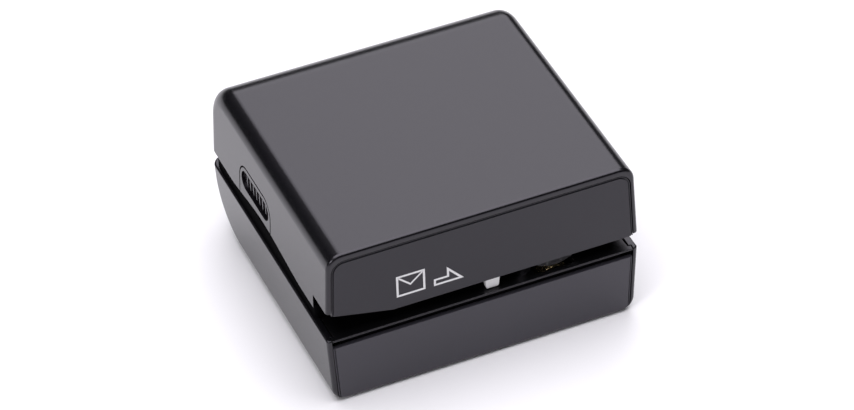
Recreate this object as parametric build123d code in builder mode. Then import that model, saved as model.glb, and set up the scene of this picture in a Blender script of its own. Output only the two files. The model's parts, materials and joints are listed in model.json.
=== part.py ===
"""Battery electric letter opener: a compact cube with a hinged top cover.

Millimetres. X is the way the envelope travels, Y runs from the front to the back, +Z is up.
The origin is the middle of the rectangle the opener covers, on the surface it stands on.
"""
import os
from math import atan2, cos, degrees, radians, sin, sqrt, tan

from build123d import *

os.makedirs("parts", exist_ok=True)

# ------------------------------------------------------------------ driving sizes
# outer form of the two shells
feed_side_width = 39.5        # the body is wider than the cells by this, room for the feed
body_depth = 84.8             # front to back
draft_angle = 2.9             # both shells taper away from the seam, degrees
foot_height = 0.6             # the rubber feet stand this far below the base shell
base_height = 21.4            # base shell, bottom to rim
seam_gap = 4.8                # black band between the two shells
cover_height = 23.4           # top cover, lower edge to top
wall = 2.0                    # walls of both shells
long_edge_radius = 4.5        # long top edges and the back corners of the cover
cover_back_radius = 11.0      # top back edge of the cover
base_edge_radius = 4.0        # long bottom edges and back corners of the base
base_back_radius = 17.0       # bottom back edge of the base
front_edge_radius = 1.0       # rounding of each shell's front rim
seam_edge_radius = 0.5        # rounding of the edges that face the seam
opening_corner_radius = 3.6   # corners of the cover's and base's front openings
front_rim = 1.2               # width of the shells' rims beside their front plates

# front plates
reveal = 0.28                 # gap, ridge and groove round a front plate, each this wide
reveal_depth = 0.3            # depth of the groove between ridge and plate
ridge_setback = 0.15          # the ridge lies this far behind the plate's face
plate_thickness = 1.3         # whole thickness of a front plate
base_plate_overrun = 0.2      # the lower plate's outline runs this far past the bottom edge
base_plate_corner_radius = 2.9
slot_height = 4.7             # envelope slot, table to panel
mouth_rise = 4.3              # the panel's lower left corner is lifted by this
mouth_length = 17.0           # length of the lifted stretch
mouth_notch_depth = 8.9       # front to back length of the notch in the cover's left wall
mouth_notch_height = 4.6      # height of that notch above the cover's lower edge
notch_slant = 1.4             # the notch's end runs this far back per mm of wall

# slot table and its lip
table_drop = 0.2              # table surface below the base's rim
table_thickness = 1.6
lip_thickness = 0.6
lip_edge_radius = 0.25
cove_height = 2.1             # dark recess between lip and front plate
cove_depth = 1.6
fence_depth = 10.2            # front of the body to the fence that guides the envelope

# feed and cut
feed_bay_gap = 0.59           # roller gear to the battery bay beside it
feed_wheel_radius = 9.6
feed_wheel_width = 3.6
feed_wheel_lift = 0.8         # underside of the wheel above the table
nip_gap = 0.35                # feed wheel to roller
blade_thickness = 1.0
blade_bite = 0.4              # how far the two blades overlap, seen from the front
blade_gap = 0.06              # side clearance between the two blades
shaft_radius = 1.5
shaft_clearance = 0.05
bushing_radius = 2.6

# gears: module and teeth
feed_module = 0.65
drive_teeth = 30
roller_gear_teeth = 17
feed_pinion_teeth = 12
train_module = 0.5
train_gear_teeth = 30
train_pinion_teeth = 10
feed_gear_width = 3.0
train_gear_width = 2.0
tooth_addendum = 0.9          # tooth above and below the pitch circle, in modules
tooth_dedendum = 1.15
gear_gap = 0.6                # free space between neighbouring gear planes
train_slope = 26.6            # second gear stands this far above the feed shaft, degrees
train_dip = 11.0              # first gear stands this far below the second, degrees
motor_rise = 4.6              # motor stands this far above the first gear, degrees
gear_pin_radius = 1.0

# gearbox plates
plate_front_gap = 2.8         # fence to the front gearbox plate
gearbox_plate_thickness = 1.5
gearbox_depth = 12.5          # between the two plates
gearbox_top = 47.0
gearbox_reach_left = 50.9     # from the feed axis
gearbox_reach_right = 15.9
tongue_width = 10.4           # narrow lower part of the plates that carries the roller shaft
screw_radius = 1.0
screw_head_radius = 1.9
screw_head_height = 1.1

# motor
motor_width = 20.1
motor_height = 15.1
motor_length = 25.0
motor_boss_radius = 3.0
motor_boss_length = 1.2
motor_shaft_radius = 1.0
motor_tab_offset = 6.0        # terminals either side of the motor's axis

# start lever and its switch
lever_feed_distance = 18.3    # lever to the feed axis, along the slot
lever_top_width = 4.3
lever_tip_width = 3.5
lever_tip_radius = 0.4
lever_thickness = 1.5
lever_head_radius = 2.6
lever_hub_radius = 1.8
lever_hub_length = 4.0
lever_pivot_height = 5.6      # pivot above the slot's ceiling
lever_floor_gap = 0.3
lever_pin_radius = 1.0
switch_length = 12.8
switch_depth = 5.8
switch_height = 6.5
switch_drop = 3.4             # underside of the switch below the lever's pivot
lever_nose_radius = 0.8       # rounded nose on the hub that presses the switch's arm
lever_nose_distance = 2.5     # nose to pivot
lever_nose_angle = 60.0       # nose above the level, at rest, degrees
arm_gap = 0.1                 # nose to arm at rest
arm_thickness = 0.5
arm_width = 1.0
arm_length = 5.3              # pivot to tip
arm_pivot_drop = 2.6          # the arm's pivot below the lever's
arm_standoff = 2.0            # the arm's pivot to the switch
arm_pin_radius = 0.3
arm_foot_radius = 0.6
arm_ear_thickness = 0.4
arm_ear_gap = 0.1

# hinge of the cover, in the seam on the right side
hinge_inset = 1.7             # hinge axis inside the body's side
hinge_radius = 1.5
hinge_pin_radius = 0.75
hinge_clearance = 0.05
hinge_front = -24.0
hinge_knuckle_length = 8.0
hinge_knuckle_gap = 0.3
hinge_sets = 2
hinge_set_pitch = 34.0

# cover latch on the left side
latch_y = 7.9
latch_length = 21.6
latch_height = 11.4
latch_corner_radius = 4.6
latch_gap = 0.5
latch_thickness = 1.6
latch_recess_length = 19.4
latch_recess_height = 5.8
latch_recess_depth = 1.0
latch_rib_count = 7
latch_rib_width = 0.6
latch_travel = 1.5            # pressed inwards
relief_front = -31.0          # shallow arch in the cover's lower edge under the latch tab
relief_back = 28.5
relief_peak = 4.5
relief_rise = 2.5
hook_thickness = 1.4
hook_length = 7.0
hook_play = 1.6               # free space round the hook in its opening

# middle frame
frame_inset = 0.95            # the black band lies this far inside the shells
deck_thickness = 1.5
skirt_depth = 1.8
skirt_thickness = 1.2
fence_thickness = 1.6
fence_corner_radius = 0.9
fit_clearance = 0.3

# batteries and their bay
cell_diameter = 14.5
cell_length = 50.5
cell_pitch = 14.7
cell_nub_radius = 2.75
cell_nub_length = 1.0
cell_count = 4
cell_inset = 6.0              # flat end of the cells inside the left side
cell_row_centre = -1.95       # middle of the row of cells, front to back
cell_floor_gap = 0.3          # cells above the battery door
contact_gap = 1.9             # cell end to contact plate, taken up by a spring
contact_thickness = 0.3
contact_size = 10.0
contact_button_radius = 2.4
spring_radius = 4.0
spring_wire = 0.8
bay_wall = 1.0
bay_skirt_lift = 2.2          # the bay's walls end this far above the base's floor

# battery door
door_thickness = 1.6
door_margin = 0.4             # door opening beyond the cells
door_gap = 0.3
door_pin_radius = 0.5
door_pin_length = 1.0

# feet
foot_radius = 3.0
foot_side_inset = 10.0        # centres of the feet inside the sides, the front and the back
foot_front_inset = 5.9
foot_back_inset = 11.4
foot_pocket = 0.8
foot_pad_thickness = 1.0      # material above a foot

# wiring
wire_radius = 0.5
wire_bend = 2.4
red_lead_gap = 3.5            # the red lead rises this far left of the gearbox
yellow_lead_gap = 6.5         # the yellow one runs back this far left of it
red_lead_setback = 3.9        # behind the front gearbox plate
black_lead_gap = 4.9          # the black lead rises this far behind the motor's terminals

# ------------------------------------------------------------------ worked out sizes
body_width = cell_length + feed_side_width
half_width = body_width / 2
front = -body_depth / 2
back = body_depth / 2
draft = tan(radians(draft_angle))
base_bottom = foot_height
base_rim = base_bottom + base_height
cover_edge = base_rim + seam_gap
cover_top = cover_edge + cover_height
table_top = base_rim - table_drop
slot_ceiling = table_top + slot_height
fence_front = front + fence_depth
fence_back = fence_front + fence_thickness
deck_top = slot_ceiling
lip_bottom = table_top - lip_thickness
base_plate_top = lip_bottom - cove_height

cell_left = cell_inset - half_width
cell_right = cell_left + cell_length
bay_left = cell_left - contact_gap - contact_thickness
bay_right = cell_right + contact_gap + contact_thickness
roller_gear_tip = feed_module * (roller_gear_teeth / 2 + tooth_addendum)
feed_x = bay_right + bay_wall + feed_bay_gap + roller_gear_tip
gearbox_left = feed_x - gearbox_reach_left
gearbox_right = feed_x + gearbox_reach_right
lever_x = feed_x - lever_feed_distance

feed_z = table_top + feed_wheel_lift + feed_wheel_radius
feed_distance = feed_module * (drive_teeth + roller_gear_teeth) / 2
roller_z = feed_z - feed_distance
roller_radius = feed_distance - feed_wheel_radius - nip_gap
blade_radius = (feed_distance + blade_bite) * feed_wheel_radius / (feed_wheel_radius + roller_radius)
roller_blade_radius = feed_distance + blade_bite - blade_radius

plate_front_face = fence_front + plate_front_gap
plate_front_back = plate_front_face + gearbox_plate_thickness
plate_rear_face = plate_front_back + gearbox_depth
plate_rear_back = plate_rear_face + gearbox_plate_thickness
feed_plane = plate_front_back + gear_gap + feed_gear_width
second_plane = feed_plane + gear_gap + train_gear_width
first_plane = second_plane + gear_gap + train_gear_width

feed_pinion_distance = feed_module * (drive_teeth + feed_pinion_teeth) / 2
train_distance = train_module * (train_gear_teeth + train_pinion_teeth) / 2
second_x = feed_x - feed_pinion_distance * cos(radians(train_slope))
second_z = feed_z + feed_pinion_distance * sin(radians(train_slope))
first_x = second_x - train_distance * cos(radians(train_dip))
first_z = second_z - train_distance * sin(radians(train_dip))
motor_x = first_x - train_distance * cos(radians(motor_rise))
motor_z = first_z + train_distance * sin(radians(motor_rise))

wheel_back = front + plate_thickness + 0.9 + feed_wheel_width
blade_back = wheel_back + 0.7 + blade_thickness
roller_blade_back = blade_back + blade_gap + blade_thickness

lever_z = slot_ceiling + lever_pivot_height
lever_front = front + plate_thickness + fit_clearance
lever_back = lever_front + lever_thickness
lever_hub_back = lever_front + lever_hub_length

hinge_x = half_width - hinge_inset
hinge_z = (base_rim + cover_edge) / 2

cell_bottom = base_bottom + door_thickness + cell_floor_gap
cell_z = cell_bottom + cell_diameter / 2
row_half = (cell_count - 1) * cell_pitch / 2 + cell_diameter / 2
row_front = cell_row_centre - row_half
row_back = cell_row_centre + row_half
bay_top = cell_bottom + cell_diameter + 0.4
base_floor = base_bottom + wall
bay_skirt = base_floor + bay_skirt_lift

door_left = cell_left - door_margin
door_right = cell_right + door_margin
door_front = row_front - door_margin
door_back = row_back + door_margin
door_axis_z = base_bottom + door_thickness / 2
door_axis_y = door_front + door_gap + door_thickness / 2


# ------------------------------------------------------------------ shared shapes
def front_plane(y):
    """Upright plane at y whose drawing is seen from the front; extrusions go forward."""
    return Plane.XZ.offset(-y)


def side_half_width(z, seam_z, inset):
    """Half the width of a shell at height z, this far inside its outer face."""
    return half_width - inset - draft * abs(z - seam_z)


def shell_form(seam_z, flat_z, inset, end_radius, edge_radius, overrun):
    """Solid block of one shell, from its seam to its flat face, this far inside its skin.

    overrun lengthens the block past the seam and past the front, for cutting a cavity.
    """
    up = 1 if flat_z > seam_z else -1
    open_z = seam_z - up * overrun
    inner_flat = flat_z - up * inset
    front_y = front - overrun
    back_y = back - inset
    wide = half_width - inset + draft * overrun
    narrow = side_half_width(inner_flat, seam_z, inset)
    with BuildPart() as form:
        with BuildSketch(Plane.YZ):
            with BuildLine():
                Line((front_y, open_z), (back_y, open_z))
                Line((back_y, open_z), (back_y, inner_flat - up * end_radius))
                RadiusArc((back_y, inner_flat - up * end_radius),
                          (back_y - end_radius, inner_flat), -up * end_radius)
                Line((back_y - end_radius, inner_flat), (front_y, inner_flat))
                Line((front_y, inner_flat), (front_y, open_z))
            make_face()
        extrude(amount=body_width, both=True)
        with BuildSketch(Plane.XZ):
            Polygon((-wide, open_z), (wide, open_z), (narrow, inner_flat), (-narrow, inner_flat),
                    align=None)
        extrude(amount=body_depth, both=True, mode=Mode.INTERSECT)
        long_edges = form.edges().filter_by(
            lambda e: abs(e.center().X) > narrow - 1
            and e.center().Y > front_y + 1
            and abs(e.center().Z - open_z) > 0.5)
        fillet(long_edges, edge_radius)
    return form.part


def rounded_shell(seam_z, flat_z, end_radius, edge_radius):
    """Outer form of one shell with its front rim and seam edges rounded."""
    with BuildPart() as form:
        add(shell_form(seam_z, flat_z, 0, end_radius, edge_radius, 0))
        rim = form.edges().filter_by(
            lambda e: abs(e.center().Y - front) < 0.01 and abs(e.center().Z - seam_z) > 0.5)
        fillet(rim, front_edge_radius)
        seam_edges = form.edges().filter_by(
            lambda e: abs(e.center().Z - seam_z) < 0.01 and e.center().Y > front + 1)
        fillet(seam_edges, seam_edge_radius)
    return form.part


def plate_outline(low_z, high_z, seam_z, inset, corner_radius):
    """Drafted front plate outline between two heights, rounded where it meets the flat side."""
    top_wide = side_half_width(high_z, seam_z, front_rim + inset)
    low_wide = side_half_width(low_z, seam_z, front_rim + inset)
    with BuildSketch() as outline:
        Polygon((-low_wide, low_z), (low_wide, low_z), (top_wide, high_z), (-top_wide, high_z),
                align=None)
        if high_z > seam_z:
            corners = outline.vertices().group_by(Axis.Y)[-1]
        else:
            corners = outline.vertices().group_by(Axis.Y)[0]
        fillet(corners, corner_radius)
    return outline.sketch


def gear_outline(teeth, module, phase):
    """Spur gear outline about the origin, with a tooth at the angle phase in degrees."""
    pitch_radius = teeth * module / 2
    flank = ((pitch_radius - tooth_dedendum * module, 0.88 * module),
             (pitch_radius, 0.70 * module),
             (pitch_radius + tooth_addendum * module, 0.34 * module))
    points = []
    for tooth in range(teeth):
        middle = radians(phase + tooth * 360 / teeth)
        for radius, half_thickness in flank:
            points.append((radius, middle - half_thickness / radius))
        for radius, half_thickness in reversed(flank):
            points.append((radius, middle + half_thickness / radius))
    return [(radius * cos(angle), radius * sin(angle)) for radius, angle in points]


def mesh_phase(direction, teeth, phase, mate_teeth):
    """Phase of the mate that stands in this direction from a gear, so that the two are in mesh."""
    return direction + 180 + 180 / mate_teeth - (phase - direction) * teeth / mate_teeth


def angle_between(x0, z0, x1, z1):
    return degrees(atan2(z1 - z0, x1 - x0))


def round_bar(x, z, y_back, length, radius, mode=Mode.ADD):
    """Add or cut a bar along Y that starts at y_back and runs forward."""
    with BuildSketch(front_plane(y_back)) as disc:
        with Locations((x, z)):
            Circle(radius)
    extrude(disc.sketch, amount=length, mode=mode)


def round_hole(x, z, y_back, length, radius):
    """Cut a hole along Y that starts at y_back and runs forward."""
    round_bar(x, z, y_back, length, radius, Mode.SUBTRACT)


def spur_gear(x, z, y_back, width, teeth, module, phase):
    """Add a spur gear along Y."""
    with BuildSketch(front_plane(y_back)) as disc:
        with Locations((x, z)):
            Polygon(*gear_outline(teeth, module, phase), align=None)
    extrude(disc.sketch, amount=width)


def block(low, high, mode=Mode.ADD):
    """Add or cut the box between two corners."""
    size = [b - a for a, b in zip(low, high)]
    with Locations(tuple((a + b) / 2 for a, b in zip(low, high))):
        Box(*size, mode=mode)


# ------------------------------------------------------------------ base
cover_outer = rounded_shell(cover_edge, cover_top, cover_back_radius, long_edge_radius)
cover_cavity = shell_form(cover_edge, cover_top, wall, cover_back_radius - wall,
                          opening_corner_radius, 1.0)
base_outer = rounded_shell(base_rim, base_bottom, base_back_radius, base_edge_radius)
base_cavity = shell_form(base_rim, base_bottom, wall, base_back_radius - wall,
                         base_edge_radius - wall, 1.0)

foot_x = half_width - foot_side_inset
foot_ys = (front + foot_front_inset, back - foot_back_inset)
foot_places = [(side * foot_x, y) for y in foot_ys for side in (-1, 1)]


def foot_top(y):
    """Top of a foot: a shallow pocket in front, a deeper one where the underside curves up."""
    rise = max(0.0, y + foot_radius - (back - base_back_radius))
    lift = base_back_radius - sqrt(base_back_radius ** 2 - rise ** 2)
    return base_bottom + foot_pocket + lift


with BuildPart() as base_shell:
    add(base_outer)
    add(base_cavity, mode=Mode.SUBTRACT)
    # the front opening is wider than the cavity and runs out through the bottom edge
    plate_low = base_bottom - base_plate_overrun
    with BuildSketch(front_plane(front + plate_thickness + fit_clearance)):
        add(plate_outline(base_rim + 1, plate_low, base_rim, 0, base_plate_corner_radius))
    extrude(amount=plate_thickness + fit_clearance + 1, mode=Mode.SUBTRACT)
    # ledges that carry the slot table
    for side in (-1, 1):
        ledge_wall = side * (half_width - 1.0)
        ledge_end = side * (half_width - wall - 4.0)
        block((min(ledge_wall, ledge_end), front + 5.0, table_top - table_thickness - 3.0),
              (max(ledge_wall, ledge_end), row_front - bay_wall - fit_clearance,
               table_top - table_thickness))
    # battery door opening with its pin holes
    block((door_left, door_front, base_bottom - 1), (door_right, door_back, base_floor + 2),
          mode=Mode.SUBTRACT)
    with BuildSketch(Plane.YZ.offset(door_left - door_pin_length - door_gap)):
        with Locations((door_axis_y, door_axis_z)):
            Circle(door_pin_radius + shaft_clearance)
    extrude(amount=door_right - door_left + 2 * (door_pin_length + door_gap), mode=Mode.SUBTRACT)
    # ribs that the battery bay stands on
    block((door_left, door_front - bay_wall - 0.2, base_floor - 0.2),
          (bay_right, door_front - 0.2, bay_skirt))
    block((bay_right, door_front - bay_wall - 0.2, base_floor - 0.2),
          (bay_right + bay_wall, row_back - 4, bay_skirt))
    # pockets for the feet, with pads behind the back ones
    for x, y in foot_places:
        with Locations((x, y, foot_top(y))):
            Cylinder(foot_radius + 1, foot_pad_thickness,
                     align=(Align.CENTER, Align.CENTER, Align.MIN))
    for x, y in foot_places:
        with Locations((x, y, 0)):
            Cylinder(foot_radius, foot_top(y), mode=Mode.SUBTRACT,
                     align=(Align.CENTER, Align.CENTER, Align.MIN))
base_shell.part.label = "base_shell"
export_step(base_shell.part, "parts/base_shell.step")

with BuildPart() as base_front_plate:
    with BuildSketch(front_plane(front + plate_thickness)):
        add(plate_outline(base_plate_top, plate_low, base_rim, reveal,
                          base_plate_corner_radius - reveal))
    extrude(amount=plate_thickness - ridge_setback)
    with BuildSketch(front_plane(front + ridge_setback)):
        add(plate_outline(base_plate_top, plate_low, base_rim, 2 * reveal,
                          base_plate_corner_radius - 2 * reveal))
        add(plate_outline(base_plate_top + 1, plate_low, base_rim, 3 * reveal,
                          base_plate_corner_radius - 3 * reveal), mode=Mode.SUBTRACT)
    extrude(amount=-reveal_depth, mode=Mode.SUBTRACT)
    with BuildSketch(front_plane(front + ridge_setback)):
        add(plate_outline(base_plate_top, plate_low, base_rim, 3 * reveal,
                          base_plate_corner_radius - 3 * reveal))
    extrude(amount=ridge_setback)
    add(base_outer, mode=Mode.INTERSECT)
base_front_plate.part.label = "base_front_plate"
export_step(base_front_plate.part, "parts/base_front_plate.step")

for number, (x, y) in enumerate(foot_places, start=1):
    with BuildPart() as foot:
        with Locations((x, y, 0)):
            Cylinder(foot_radius, foot_top(y), align=(Align.CENTER, Align.CENTER, Align.MIN))
        fillet(foot.edges().group_by(Axis.Z)[0], 0.4)
    foot.part.label = f"foot_{number}"
    export_step(foot.part, f"parts/foot_{number}.step")

# ------------------------------------------------------------------ slot table
wheel_window_half = roller_radius + 0.5
with BuildPart() as slot_table:
    table_half = side_half_width(table_top - table_thickness, base_rim, wall) - fit_clearance
    lip_half = side_half_width(lip_bottom, base_rim, front_rim) - fit_clearance
    block((-lip_half, front, lip_bottom), (lip_half, front + cove_depth, table_top))
    fillet(slot_table.edges().filter_by(Axis.X).filter_by(
        lambda e: abs(e.center().Y - front) < 0.01), lip_edge_radius)
    block((-table_half, front + cove_depth - 0.01, table_top - table_thickness),
          (table_half, fence_back, table_top))
    # apron that closes the cove
    block((-table_half + 2, front + cove_depth, base_plate_top - 3.0),
          (table_half - 2, front + cove_depth + 1.0, table_top - table_thickness + 0.2))
    # shallow step behind the lip
    block((-table_half - 1, front + 3.0, table_top - 0.15),
          (table_half + 1, fence_front - 1.0, table_top + 1), mode=Mode.SUBTRACT)
    # window for the roller and the lower blade
    block((feed_x - wheel_window_half, wheel_back - feed_wheel_width - 0.4, table_top - 6),
          (feed_x + wheel_window_half, roller_blade_back + 0.4, table_top + 1),
          mode=Mode.SUBTRACT)
slot_table.part.label = "slot_table"
export_step(slot_table.part, "parts/slot_table.step")

# ------------------------------------------------------------------ batteries
battery_ys = [cell_row_centre + (i - (cell_count - 1) / 2) * cell_pitch for i in range(cell_count)]

with BuildPart() as battery_bay:
    block((bay_left - bay_wall + 0.1, row_front - bay_wall, bay_skirt),
          (bay_right + bay_wall, row_back + bay_wall, bay_top + bay_wall))
    block((bay_left, row_front, bay_skirt - 1), (bay_right, row_back, bay_top),
          mode=Mode.SUBTRACT)
battery_bay.part.label = "battery_bay"
export_step(battery_bay.part, "parts/battery_bay.step")

for number, y in enumerate(battery_ys, start=1):
    forward = 1 if number % 2 else -1
    flat_end = cell_left if forward > 0 else cell_right
    with BuildPart() as battery:
        with BuildSketch(Plane.YZ.offset(flat_end)):
            with Locations((y, cell_z)):
                Circle(cell_diameter / 2)
        extrude(amount=forward * (cell_length - cell_nub_length))
        fillet(battery.edges(), 0.5)
        with BuildSketch(Plane.YZ.offset(flat_end + forward * (cell_length - cell_nub_length))):
            with Locations((y, cell_z)):
                Circle(cell_nub_radius)
        extrude(amount=forward * cell_nub_length)
    battery.part.label = f"battery_{number}"
    export_step(battery.part, f"parts/battery_{number}.step")

for number, y in enumerate(battery_ys, start=1):
    forward = 1 if number % 2 else -1
    flat_end = cell_left if forward > 0 else cell_right
    plate_x = bay_left if forward > 0 else bay_right
    with BuildPart() as battery_spring:
        with BuildSketch(Plane.YZ.offset(plate_x)):
            with Locations((y, cell_z)):
                Rectangle(contact_size, contact_size)
        extrude(amount=forward * contact_thickness)
        with BuildSketch(Plane.YZ.offset(plate_x + forward * contact_thickness)):
            with Locations((y, cell_z)):
                Circle(spring_radius)
                Circle(spring_radius - spring_wire, mode=Mode.SUBTRACT)
        extrude(amount=forward * (contact_gap - 0.1))
    battery_spring.part.label = f"battery_spring_{number}"
    export_step(battery_spring.part, f"parts/battery_spring_{number}.step")

for number, y in enumerate(battery_ys, start=1):
    forward = 1 if number % 2 else -1
    plate_x = bay_right if forward > 0 else bay_left
    with BuildPart() as battery_contact:
        with BuildSketch(Plane.YZ.offset(plate_x)):
            with Locations((y, cell_z)):
                Rectangle(contact_size, contact_size)
        extrude(amount=-forward * contact_thickness)
        with BuildSketch(Plane.YZ.offset(plate_x - forward * contact_thickness)):
            with Locations((y, cell_z)):
                Circle(contact_button_radius)
        extrude(amount=-forward * (contact_gap - 0.1))
    battery_contact.part.label = f"battery_contact_{number}"
    export_step(battery_contact.part, f"parts/battery_contact_{number}.step")

with BuildPart() as battery_door:
    block((door_left + door_gap, door_axis_y, base_bottom),
          (door_right - door_gap, door_back - door_gap, base_bottom + door_thickness))
    with BuildSketch(Plane.YZ.offset(door_left + door_gap)):
        with Locations((door_axis_y, door_axis_z)):
            Circle(door_thickness / 2)
    extrude(amount=door_right - door_left - 2 * door_gap)
    with BuildSketch(Plane.YZ.offset(door_left - door_pin_length)):
        with Locations((door_axis_y, door_axis_z)):
            Circle(door_pin_radius)
    extrude(amount=door_right - door_left + 2 * door_pin_length)
    add(base_outer, mode=Mode.INTERSECT)
    # finger notch at the free edge
    with Locations(((door_left + door_right) / 2, door_back - 4.5, base_bottom)):
        Cylinder(6.0, 0.8, mode=Mode.SUBTRACT, align=(Align.CENTER, Align.CENTER, Align.MIN))
battery_door.part.label = "battery_door"
export_step(battery_door.part, "parts/battery_door.step")

# ------------------------------------------------------------------ middle frame
window_left = feed_x - 9.4
window_right = feed_x + 9.4
window_front = plate_front_face - 0.3
window_back = plate_rear_back + 0.4


def frame_ring(inset, front_y, low_z, high_z):
    """Closed block of the frame's outline between two heights, with rounded corners."""
    wide = half_width - inset
    with BuildPart() as ring:
        with BuildSketch(Plane.XY.offset(low_z)):
            Polygon((-wide, front_y), (wide, front_y), (wide, back - inset),
                    (-wide, back - inset), align=None)
        extrude(amount=high_z - low_z)
        fillet(ring.edges().filter_by(Axis.Z).group_by(Axis.Y)[-1], base_edge_radius)
        fillet(ring.edges().filter_by(Axis.Z).group_by(Axis.Y)[0], fence_corner_radius)
    return ring.part


frame_outer = frame_ring(frame_inset, fence_front, base_rim, deck_top)
frame_inner = frame_ring(frame_inset + wall, fence_back, base_rim, deck_top - deck_thickness)
skirt_inset = wall + fit_clearance
skirt_low = base_rim - skirt_depth
skirt_outer = frame_ring(skirt_inset, fence_back + fit_clearance, skirt_low, base_rim)
skirt_inner = frame_ring(skirt_inset + skirt_thickness, fence_back - 2, skirt_low - 1, base_rim + 1)

plate_feet = ((gearbox_left + 3.6, plate_rear_back + 4.5),
              (gearbox_right - 3.6, plate_rear_back + 4.5))
red_lead_x = gearbox_left - red_lead_gap
red_lead_y = plate_front_back + red_lead_setback
motor_back = plate_rear_back + motor_length
motor_tab_end = motor_back + 5.0
black_lead_y = motor_tab_end + black_lead_gap
lead_holes = ((red_lead_x, red_lead_y), (motor_x - motor_tab_offset, black_lead_y))
cover_knuckle_ys = [hinge_front + i * hinge_set_pitch for i in range(hinge_sets)]
frame_knuckle_ys = [y + hinge_knuckle_length + hinge_knuckle_gap for y in cover_knuckle_ys]

with BuildPart() as middle_frame:
    add(skirt_outer)
    add(skirt_inner, mode=Mode.SUBTRACT)
    add(frame_outer)
    add(frame_inner, mode=Mode.SUBTRACT)
    # the foot of the fence, which stands on the table
    block((-table_half, fence_front, table_top), (table_half, fence_back, base_rim + 0.2))
    # window for the gearbox
    block((window_left, window_front, base_rim - 4), (window_right, window_back, deck_top + 1),
          mode=Mode.SUBTRACT)
    # pockets that give the cover's knuckles room
    for y in cover_knuckle_ys:
        block((hinge_x - hinge_radius - 0.4, y - 0.4, base_rim - 0.01),
              (half_width, y + 2 * hinge_knuckle_length + hinge_knuckle_gap + 0.4, deck_top + 1),
              mode=Mode.SUBTRACT)
        block((hinge_x - hinge_radius - 1.9, y - 0.4, base_rim),
              (hinge_x - hinge_radius - 0.4, y + 2 * hinge_knuckle_length + hinge_knuckle_gap + 0.4,
               deck_top))
    # frame knuckles
    for y in frame_knuckle_ys:
        round_bar(hinge_x, hinge_z, y + hinge_knuckle_length, hinge_knuckle_length, hinge_radius)
        block((hinge_x - hinge_radius - 0.6, y, hinge_z - 0.7),
              (hinge_x, y + hinge_knuckle_length, hinge_z + 0.7))
        round_hole(hinge_x, hinge_z, y + hinge_knuckle_length, hinge_knuckle_length,
                   hinge_pin_radius)
    # cradle under the motor
    for y in (plate_rear_back + 3.0, motor_back - 6.0):
        block((motor_x - motor_width / 2 - 1.5, y, deck_top - 0.2),
              (motor_x + motor_width / 2 + 1.5, y + 2.0, motor_z - 2.0))
    block((motor_x - motor_width / 2, plate_rear_back, motor_z - motor_height / 2),
          (motor_x + motor_width / 2, motor_back + 1, motor_z + motor_height),
          mode=Mode.SUBTRACT)
    # holes for the screws of the gearbox and for the battery leads
    for x, y in plate_feet:
        with Locations((x, y, deck_top)):
            Cylinder(screw_radius, 4 * deck_thickness, mode=Mode.SUBTRACT)
    for x, y in lead_holes:
        with Locations((x, y, deck_top)):
            Cylinder(2 * wire_radius, 4 * deck_thickness, mode=Mode.SUBTRACT)
    # opening that the cover's hook drops into
    block((-half_width + frame_inset + wall, latch_y - hook_length / 2 - hook_play, base_rim - 4),
          (-half_width + frame_inset + wall + hook_thickness + latch_travel + hook_play,
           latch_y + hook_length / 2 + hook_play, deck_top + 1), mode=Mode.SUBTRACT)
middle_frame.part.label = "middle_frame"
export_step(middle_frame.part, "parts/middle_frame.step")

with BuildPart() as hinge_pins:
    for y in cover_knuckle_ys:
        round_bar(hinge_x, hinge_z, y + 2 * hinge_knuckle_length + hinge_knuckle_gap,
                  2 * hinge_knuckle_length + hinge_knuckle_gap, hinge_pin_radius)
hinge_pins.part.label = "hinge_pins"
export_step(hinge_pins.part, "parts/hinge_pins.step")

# ------------------------------------------------------------------ top cover
notch_back = front + mouth_notch_depth
latch_low = cover_edge
latch_high = cover_edge + latch_height


def latch_outline(margin):
    """Arched outline of the latch tab on the side, open towards the cover's lower edge."""
    half = latch_length / 2 + margin
    with BuildSketch() as outline:
        Polygon((latch_y - half, latch_low - 1), (latch_y + half, latch_low - 1),
                (latch_y + half, latch_high + margin), (latch_y - half, latch_high + margin),
                align=None)
        fillet(outline.vertices().group_by(Axis.Y)[-1], latch_corner_radius + margin)
    return outline.sketch


with BuildSketch(Plane.YZ.offset(-half_width - 1)) as edge_relief:
    with BuildLine():
        Spline((relief_back, cover_edge),
               ((relief_back + relief_peak) / 2, cover_edge + relief_rise * 0.52),
               (relief_peak, cover_edge + relief_rise),
               ((relief_front + relief_peak) / 2, cover_edge + relief_rise * 0.55),
               (relief_front, cover_edge))
        Polyline((relief_front, cover_edge), (relief_front, cover_edge - 1),
                 (relief_back, cover_edge - 1), (relief_back, cover_edge))
    make_face()

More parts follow.
